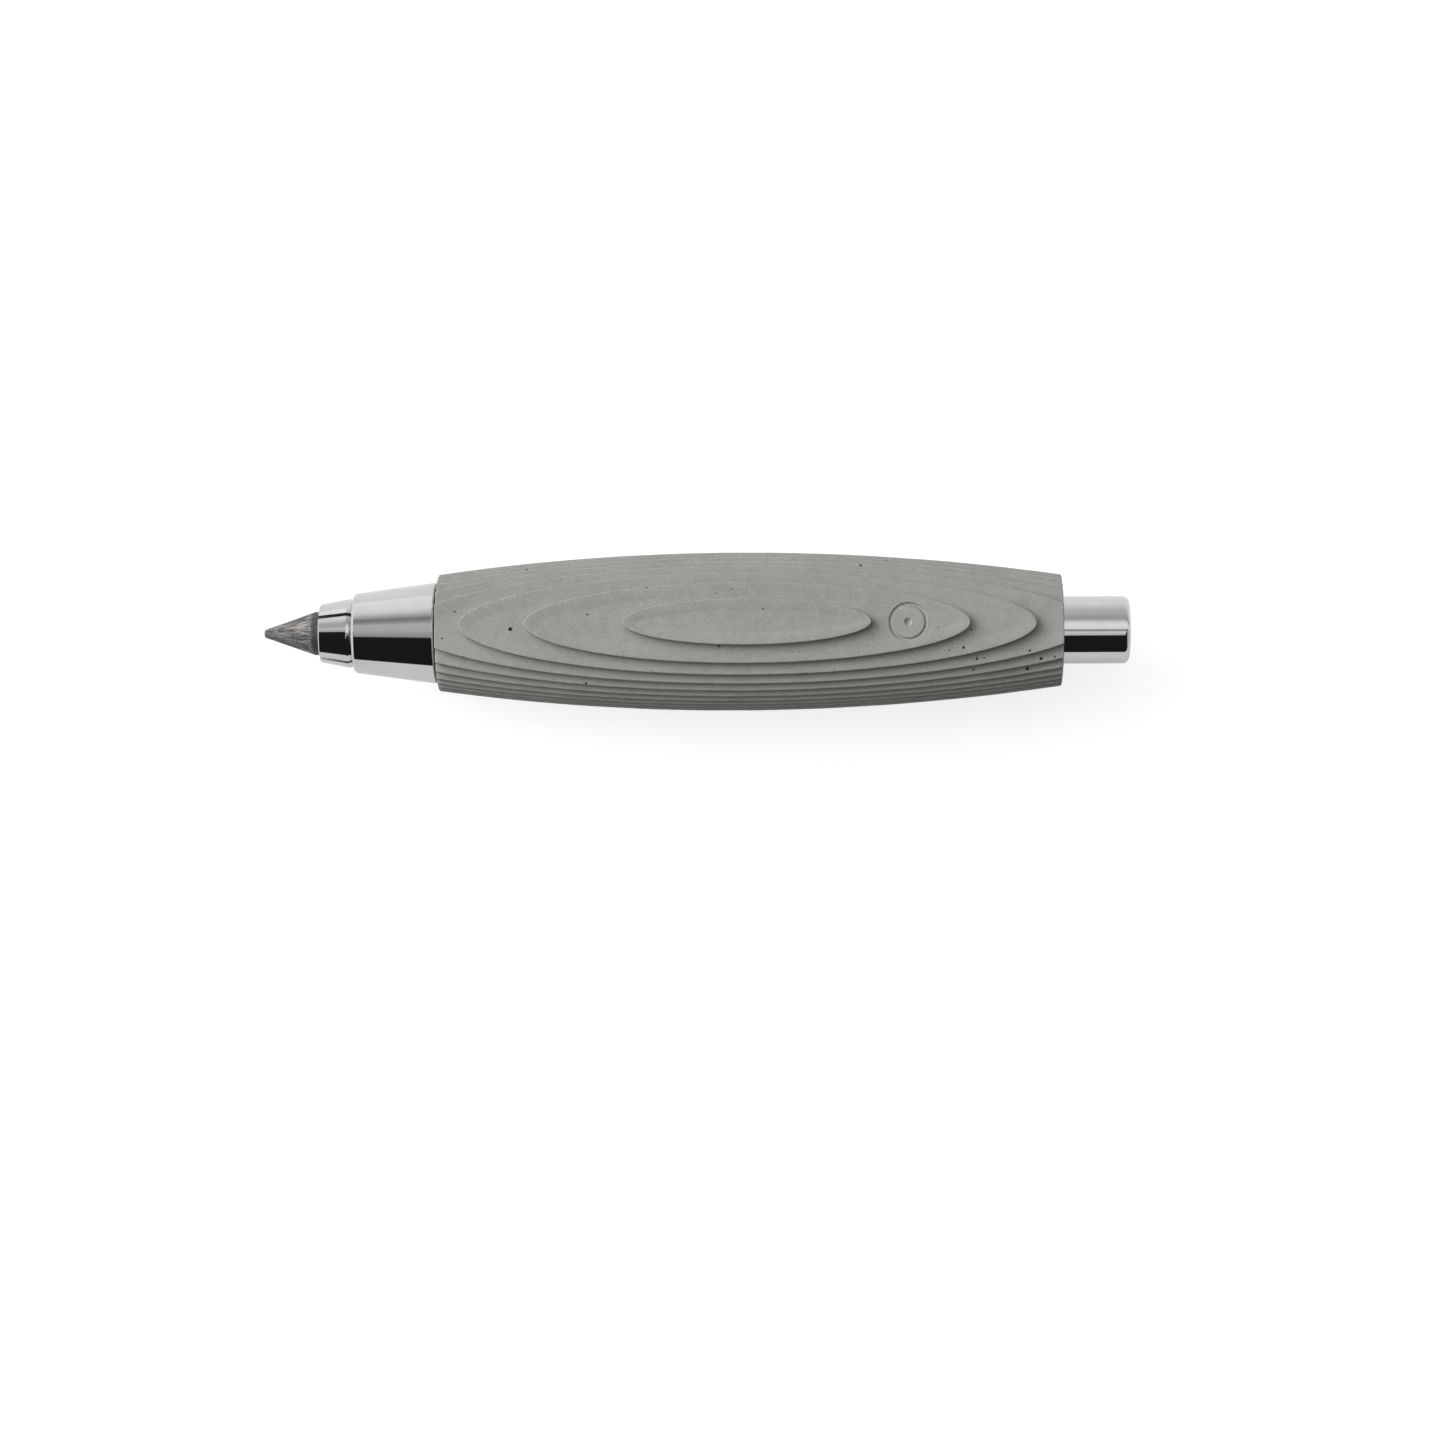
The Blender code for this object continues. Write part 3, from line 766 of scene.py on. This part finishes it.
def make_lead():
    """The lead, with a point cut by a knife."""
    tip, back = stations("graphite_lead")
    cone_end = tip + POINT_LENGTH

    def knife_marks(station, radius, turn):
        """Shallow flats and grooves along the point."""
        if station > cone_end - 0.01 or radius < 0.3:
            return 0.0
        round_place = Vector((cos(turn), sin(turn), 0))
        long_flats = noise.noise(round_place * 3.0 + Vector((0, 0, station * 0.25)))
        grooves = noise.noise(round_place * 11.0 + Vector((4, 0, station * 0.5)))
        fade = min(1.0, radius)
        return fade * (0.03 * long_flats + 0.02 * grooves) - 0.02 * fade

    slope = []
    for i in range(POINT_RINGS):
        slope.append((cone_end - POINT_LENGTH * i / POINT_RINGS, LEAD_R - POINT_FALL * i / POINT_RINGS, 0))
    corners = [(back, 0, 0), (back, LEAD_R, 0.2), *slope, (tip + 0.02, TIP_R, 0.08), (tip, 0, 0)]
    mesh = lathe("sharpened_lead", corners, LEAD_STEPS, knife_marks)
    add_piece("sharpened_lead", mesh, "lead", "graphite", graphite_material(cone_end), "graphite_lead")


BUTTON_END_WALL = 1.2
BUTTON_HOLLOW_R = 3.72


def make_button(chrome):
    """The hollow push button."""
    front, back = stations("push_button")
    radius = outer_radius("push_button")
    corners = [
        (back, 0, 0),
        (back, radius, 0.75),
        (front, radius, 0.12),
        (front, BUTTON_HOLLOW_R, 0),
        (back - BUTTON_END_WALL, BUTTON_HOLLOW_R, 0.2),
        (back - BUTTON_END_WALL, 0, 0),
    ]
    mesh = lathe("polished_button", corners)
    add_piece("polished_button", mesh, "button", "chrome", chrome, "push_button")


SPRING_WIRE_R = 0.4
SPRING_TURNS = 9
SPRING_STEPS = 40
SPRING_SIDES = 12
# Gap between the turns of the spring's closed ends
CLOSED_GAP = 0.05


def spring_rise(turns, length):
    """How far the wire's middle has come along the spring, which has a closed turn at each end."""
    closed_rise = 2 * SPRING_WIRE_R + CLOSED_GAP
    open_turns = min(max((turns - 1) / (SPRING_TURNS - 2), 0), 1)
    closed_turns = min(turns, 1) + max(turns - SPRING_TURNS + 1, 0)
    return closed_rise * closed_turns + (length - 2 * closed_rise) * open_turns


def spring_mesh(front, back, coil_r):
    """A coil of round wire between two stations."""
    length = back - front - 2 * SPRING_WIRE_R
    shape = bmesh.new()
    rings = []
    for i in range(SPRING_TURNS * SPRING_STEPS + 1):
        turns = i / SPRING_STEPS
        out = Vector((0, cos(2 * pi * turns), sin(2 * pi * turns)))
        middle = Vector((front + SPRING_WIRE_R + spring_rise(turns, length), 0, 0)) + coil_r * out
        ring = []
        for k in range(SPRING_SIDES):
            angle = 2 * pi * k / SPRING_SIDES
            side = cos(angle) * out + Vector((sin(angle), 0, 0))
            ring.append(shape.verts.new(middle + SPRING_WIRE_R * side))
        rings.append(ring)
    for ring, following in zip(rings, rings[1:]):
        for k in range(SPRING_SIDES):
            shape.faces.new((ring[k - 1], ring[k], following[k], following[k - 1]))
    shape.faces.new(rings[0])
    shape.faces.new(rings[-1])
    return finish_mesh("wound_spring", shape)


def make_spring(steel):
    """The return spring, wound at its rest length, as it stands before the button is pressed."""
    front, back = stations("return_spring")
    mesh = spring_mesh(front, back, outer_radius("return_spring") - SPRING_WIRE_R)
    spring = add_piece("wound_spring", mesh, "barrel", "spring_steel", steel, "return_spring")
    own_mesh(spring)


# The lead pointer's conical hole, whose mouth is straight for a short way, and the drill's hole at its end
POINT_ANGLE = radians(19.3)
POINTER_MOUTH_R = 2.95
POINTER_MOUTH_DEPTH = 0.5
DRILL_R = 0.35
DRILL_DEPTH = 0.6
# The ramp for the blade, cut a little into the conical hole, and the slot where shavings leave
RAMP_START = 1.2
RAMP_LENGTH = 7.2
RAMP_CUT = 0.05
SHAVINGS_LOW = (0.4, -1.5, -0.9)
SHAVINGS_SIDE = -0.1
SHAVINGS_END = RAMP_LENGTH - 0.6
# The thread on the pointer, by distance from its front
THREAD_FRONT = 5.4
THREAD_BACK = 9.0
THREAD_PITCH = 0.5
THREAD_DEPTH = 0.22
RINGS_PER_PITCH = 6
# Two corners of the blade, and how far its cutting edge is ground back
BLADE_LOW = (0.3, -0.08, 0.02)
BLADE_HIGH = (6.78, 2.28, 0.3)
BLADE_HOLE_R = 0.6
GROUND_BACK = 0.55
# The blade's screw: where it stands on the ramp, and its sizes
SCREW_PLACE = (5.0, 1.45)
SCREW_R = 0.49
SCREW_LOW = -1.45
SCREW_HOLE_R = 0.55
SCREW_HOLE_LOW = -1.6
HEAD_R = 0.9
HEAD_LOW = 0.33
HEAD_HEIGHT = 0.44
SLOT_HALF = 0.12
SLOT_LOW = HEAD_LOW + 0.22


def on_ramp(mesh):
    """Lays a mesh on the lead pointer's ramp: its X runs back along the ramp and its Z out of it."""
    front = stations("sharpener_body")[0]
    height = POINTER_MOUTH_R - (RAMP_START - POINTER_MOUTH_DEPTH) * tan(POINT_ANGLE) - RAMP_CUT
    mesh.transform(Matrix.Translation((front + RAMP_START, 0, height)) @ Matrix.Rotation(POINT_ANGLE, 4, "Y"))
    return mesh


def block(low, high, rounding=0.0, segments=2):
    """A box between two corners, with rounded edges."""
    shape = bmesh.new()
    bmesh.ops.create_cube(shape, size=1.0)
    size = Vector(high) - Vector(low)
    for vert in shape.verts:
        vert.co = Vector(low) + Vector([(vert.co[k] + 0.5) * size[k] for k in range(3)])
    if rounding:
        bmesh.ops.bevel(shape, geom=shape.edges[:], offset=rounding, offset_type="OFFSET", segments=segments,
                        profile=0.5, affect="EDGES")
    return finish_mesh("block", shape)


def upright_pin(radius, low, high, rounding=0.0):
    """A round pin that stands on the ramp at the blade screw's place."""
    corners = [(low, 0, 0), (low, radius, 0), (high, radius, rounding), (high, 0, 0)]
    mesh = lathe("pin", corners, 48)
    mesh.transform(Matrix.Translation((SCREW_PLACE[0], SCREW_PLACE[1], 0)) @ Matrix.Rotation(-pi / 2, 4, "Y"))
    return mesh


def turned_pointer():
    """The lead pointer's stem before its ramp is cut: threaded, with a conical hole in front."""
    front, back = stations("sharpener_body")
    radius = outer_radius("sharpener_body")
    mouth = front + POINTER_MOUTH_DEPTH
    cone_end = mouth + (POINTER_MOUTH_R - DRILL_R) / tan(POINT_ANGLE)
    thread_front = front + THREAD_FRONT
    thread_back = front + THREAD_BACK

    def thread(station, here_r, turn):
        """A spiral groove on the stem's outside, which runs out at both ends."""
        if here_r < radius - 0.01 or not thread_front < station < thread_back:
            return 0.0
        phase = station / THREAD_PITCH - turn / (2 * pi)
        run_out = min(1.0, (station - thread_front) / THREAD_PITCH, (thread_back - station) / THREAD_PITCH)
        return -THREAD_DEPTH * run_out * abs(2 * (phase % 1) - 1)

    count = int((thread_back - thread_front) / THREAD_PITCH * RINGS_PER_PITCH)
    rings = [(thread_back - (thread_back - thread_front) * i / count, radius, 0) for i in range(count + 1)]
    corners = [
        (back, 0, 0),
        (back, radius, 0.1),
        *rings,
        (front, radius, 0.12),
        (front, POINTER_MOUTH_R, 0.06),
        (mouth, POINTER_MOUTH_R, 0),
        (cone_end, DRILL_R, 0),
        (cone_end + DRILL_DEPTH, DRILL_R, 0),
        (cone_end + DRILL_DEPTH, 0, 0),
    ]
    return lathe("pointer", corners, 96, thread)


def make_pointer_body(brass):
    """The brass stem in the button, with a ramp for the blade, a slot for shavings and a screw hole."""
    mesh = turned_pointer()
    wide = outer_radius("sharpener_body") + 1
    cuts = [
        block((0, -wide, 0), (RAMP_LENGTH, wide, 2 * wide)),
        block(SHAVINGS_LOW, (SHAVINGS_END, SHAVINGS_SIDE, wide)),
        upright_pin(SCREW_HOLE_R, SCREW_HOLE_LOW, wide),
    ]
    for cut in cuts:
        mesh = combined(mesh, on_ramp(cut), "DIFFERENCE")
    mesh.set_sharp_from_angle(angle=SHARP_ANGLE)
    mesh.materials.clear()
    add_piece("threaded_pointer", mesh, "button", "brass", brass, "sharpener_body")


def make_blade(steel):
    """A small blade whose cutting edge is ground on its upper side."""
    shape = bmesh.new()
    shape.from_mesh(block(BLADE_LOW, BLADE_HIGH, 0.03, 1))
    for vert in shape.verts:
        from_edge = vert.co.y - BLADE_LOW[1]
        if from_edge < 0.2 and vert.co.z > 0.15:
            vert.co.y += GROUND_BACK
    blade = combined(finish_mesh("blade", shape), upright_pin(BLADE_HOLE_R, -1, 2), "DIFFERENCE")
    blade.materials.clear()
    add_piece("ground_blade", on_ramp(blade), "button", "spring_steel", steel, "sharpener_blade")


def make_screw(steel):
    """The slotted screw with a domed head that holds the blade."""
    screw = upright_pin(HEAD_R, HEAD_LOW, HEAD_LOW + HEAD_HEIGHT, 0.22)
    screw = combined(screw, upright_pin(SCREW_R, SCREW_LOW, HEAD_LOW + 0.1), "UNION")
    along, across = SCREW_PLACE
    slot = block((along - 2, across - SLOT_HALF, SLOT_LOW), (along + 2, across + SLOT_HALF, 2))
    screw = combined(screw, slot, "DIFFERENCE")
    screw.materials.clear()
    screw.set_sharp_from_angle(angle=SHARP_ANGLE)
    add_piece("domed_screw", on_ramp(screw), "button", "spring_steel", steel, "blade_screw")


GASKET_HOLE_R = 5.0


def make_gasket():
    """The thin rubber ring between the nose cone and the barrel."""
    front, back = stations("front_gasket")
    radius = outer_radius("front_gasket")
    corners = [
        (front, radius, 0.05),
        (back, radius, 0.05),
        (back, GASKET_HOLE_R, 0),
        (front, GASKET_HOLE_R, 0),
    ]
    mesh = lathe("pressed_gasket", corners)
    add_piece("pressed_gasket", mesh, "barrel", "rubber", rubber_material(), "front_gasket")


def paint(material, *names):
    """Gives CAD nodes a better material."""
    for name in names:
        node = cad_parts[name]
        node.data.materials.clear()
        node.data.materials.append(material)


# ---------------------------------------------------------------- studio

# The photo's camera, at a distance in metres
TILT = radians(6.1)
YAW = radians(1.4)
ROLL = radians(0.09)
DISTANCE = 0.456
SENSOR = 36.0
LENS = 88.4
AIM = MIDDLE + Vector((-3.5, -11.78, 0)) * MM
# The floor's radius, and how far it lies below the pencil, in metres
FLOOR_R = 4.0
FLOOR_DROP = 0.00002
# The floor's glow to the camera, and to polished metal from GLOW_REACH on the near and the far side; the
# dimmer near side is a painted shadow of the pencil
FLOOR_GLOW = 0.8
NEAR_GLOW = 0.46
FAR_GLOW = 0.61
GLOW_REACH = 12.0
# Direction, strength and focus of the soft lights on matt surfaces
OVERHEAD = ((-0.10, 0.22, 0.96), 1.08, 3.5)
RAKING = ((-0.82, 0.36, 0.38), 10.6, 10.0)
# Light on matt surfaces from all round
AMBIENT = 0.05


def make_camera():
    """The camera, almost straight above the pencil."""
    camera = bpy.data.objects.new("camera", bpy.data.cameras.new("camera"))
    bpy.context.scene.collection.objects.link(camera)
    camera.data.sensor_width = SENSOR
    camera.data.lens = LENS
    turn = Matrix.Rotation(YAW, 3, "Y") @ Matrix.Rotation(TILT, 3, "X") @ Matrix.Rotation(-ROLL, 3, "Z")
    camera.rotation_euler = turn.to_euler()
    camera.location = AIM + turn @ Vector((0, 0, DISTANCE))
    camera.data.clip_start = 0.01
    camera.data.clip_end = 20.0
    bpy.context.scene.camera = camera


def make_floor():
    """A wide, pale, glowing floor. It lights no matt surface, and polished metal sees it darker, most on the
    near side as a painted shadow.
    """
    shape = bmesh.new()
    bmesh.ops.create_circle(shape, cap_ends=True, segments=96, radius=FLOOR_R)
    mesh = finish_mesh("floor", shape)
    floor = bpy.data.objects.new("floor", mesh)
    bpy.context.scene.collection.objects.link(floor)
    floor.location.z = -FLOOR_DROP
    material, nodes = start_material("pale_floor")
    where = nodes.place()
    fibre = nodes.noise(where, 0.8, 4.0, 0.6)
    colour = nodes.mix(fibre, grey(0.29), grey(0.31))
    shader = surface(nodes, colour, 0.9)
    shader.inputs["Specular IOR Level"].default_value = 0.0
    path = nodes.add("ShaderNodeLightPath").outputs
    across = nodes.parts(where)["Y"]
    # Painted shadow: metal sees the floor's glow dimmer on the near side
    on_metal = nodes.ramp(across, -GLOW_REACH, GLOW_REACH, NEAR_GLOW - FLOOR_GLOW, FAR_GLOW - FLOOR_GLOW)
    glow = nodes.math("MULTIPLY_ADD", path["Is Glossy Ray"], on_metal, FLOOR_GLOW)
    glow = nodes.math("MULTIPLY_ADD", path["Is Diffuse Ray"], -FLOOR_GLOW, glow)
    shader.inputs["Emission Color"].default_value = grey(1.0)
    nodes.feed(shader.inputs["Emission Strength"], glow)
    mesh.materials.append(material)


def card_ramp(nodes, lean, stops):
    """Brightness of the studio by lean, from (degrees, brightness) stops."""
    along = nodes.add("ShaderNodeMapRange", lean, -180.0, 180.0).outputs[0]
    node = nodes.add("ShaderNodeValToRGB", along)
    elements = node.color_ramp.elements
    while len(elements) < len(stops):
        elements.new(0.5)
    for element, (degrees, value) in zip(elements, stops):
        element.position = (degrees + 180) / 360
        element.color = grey(value)
    return node.outputs[0]


def soft_light(nodes, direction, middle, strength, focus):
    """A broad glow in the sky, brightest in the middle."""
    towards = nodes.add("ShaderNodeVectorMath", direction, tuple(Vector(middle).normalized()),
                        operation="DOT_PRODUCT").outputs["Value"]
    glow = nodes.math("POWER", nodes.math("MAXIMUM", towards, 0.0), focus)
    return nodes.times(glow, strength)


# Brightness of the cards by lean, the angle of a direction from straight up towards the viewer's side
CARDS_TOWARDS_TIP = [
    (-180, 1.1), (-97, 1.15), (-79, 1.07), (-58, 1.0), (-49, 0.86), (-38, 0.55), (-29, 0.26), (-24, 0.30),
    (-13, 0.60), (2, 0.55), (16, 0.36), (90, 0.36), (110, 0.85),
]
CARDS_TOWARDS_BUTTON = [
    (-180, 0.93), (-100, 0.93), (-88, 0.90), (-78, 0.80), (-68, 0.68), (-48, 0.57), (-34, 0.45),
    (-29, 0.50), (-19, 0.88), (-11, 1.03), (4, 1.0), (7, 0.35), (11, 0.36), (14, 0.86), (24, 0.66),
    (96, 0.50), (106, 0.68), (150, 0.3),
]
CARDS_ON_JAWS = [
    (-180, 1.2), (-100, 1.2), (-80, 1.12), (-50, 0.95), (-41, 0.83), (-33, 0.60), (-18, 0.50), (-11, 0.72),
    (-3, 0.60), (8, 0.4), (90, 0.4), (110, 1.0),
]
TIP_CARD = 1.05
# The dark screen starts at this lean, and sooner away from the middle and on the jaws
SCREEN = 0.014
SCREEN_LEAN = 26.5
SCREEN_CURVE = 60.0
SCREEN_ON_JAWS = 10.0


def studio_cards(nodes, x, lean):
    """What polished parts show: cards that change along the pencil, and a dark screen in front of them."""
    towards_button = nodes.ramp(x, -0.34, -0.02)
    cards = nodes.mix(towards_button, card_ramp(nodes, lean, CARDS_TOWARDS_TIP),
                      card_ramp(nodes, lean, CARDS_TOWARDS_BUTTON))
    half_lean = nodes.math("RADIANS", nodes.times(lean, 0.5))
    steer = nodes.math("DIVIDE", x, nodes.math("MAXIMUM", nodes.math("COSINE", half_lean), 0.2))
    on_jaws = nodes.ramp(steer, -0.44, -0.40, 1.0, 0.0)
    cards = nodes.mix(on_jaws, cards, card_ramp(nodes, lean, CARDS_ON_JAWS))
    edge = nodes.math("SUBTRACT", nodes.times(nodes.times(x, x), SCREEN_CURVE), SCREEN_LEAN)
    edge = nodes.math("MULTIPLY_ADD", on_jaws, SCREEN_ON_JAWS, edge)
    past_edge = nodes.math("ADD", lean, edge)
    screen = nodes.times(nodes.ramp(past_edge, -1.2, 1.2), nodes.ramp(lean, 92, 97, 1.0, 0.0))
    screen = nodes.times(screen, nodes.ramp(x, 0.55, 0.8, 1.0, 0.0))
    cards = nodes.mix(screen, cards, grey(SCREEN))
    return nodes.mix(nodes.ramp(x, -0.62, -0.5, 1.0, 0.0), cards, grey(TIP_CARD))


def make_world():
    """A studio that shows its cards in polished parts and throws a softer light on matt ones."""
    world = bpy.data.worlds.new("studio")
    bpy.context.scene.world = world
    world.use_nodes = True
    nodes = Nodes(world.node_tree)
    direction = nodes.add("ShaderNodeTexCoord").outputs["Generated"]
    x, y, z = nodes.parts(direction)
    lean = nodes.times(nodes.math("ARCTAN2", nodes.times(y, -1.0), z), 180 / pi)
    cards = studio_cards(nodes, x, lean)
    soft = nodes.math("ADD", soft_light(nodes, direction, *OVERHEAD), soft_light(nodes, direction, *RAKING))
    soft = nodes.math("ADD", soft, AMBIENT)
    path = nodes.add("ShaderNodeLightPath").outputs
    light = nodes.mix(path["Is Glossy Ray"], soft, cards)
    light = nodes.mix(path["Is Camera Ray"], light, grey(1.0))
    background = nodes.add("ShaderNodeBackground", light, 1.0)
    nodes.add("ShaderNodeOutputWorld", background.outputs[0])


make_camera()
make_world()
make_floor()
bpy.context.scene.view_settings.view_transform = "Standard"

chrome = turned_metal("polished_chrome", low=grey(0.62, -0.012), high=grey(0.65, -0.01),
                      roughness=0.03, mark_depth=0.0004, marks=14.0)
brass = turned_metal("turned_brass", low=(0.68, 0.48, 0.20, 1), high=(0.80, 0.60, 0.29, 1),
                     roughness=0.2, mark_depth=0.006, marks=10.0)
steel = steel_material()
make_barrel()
make_nose_cone(chrome)
make_jaws(chrome)
make_lead()
make_button(chrome)
make_gasket()
make_spring(steel)
make_pointer_body(brass)
make_blade(steel)
make_screw(steel)
paint(brass, "barrel_liner", "rear_bush", "collet_neck", "lead_tube", "spring_collar", "button_socket")
paint(steel, "spring_seat")
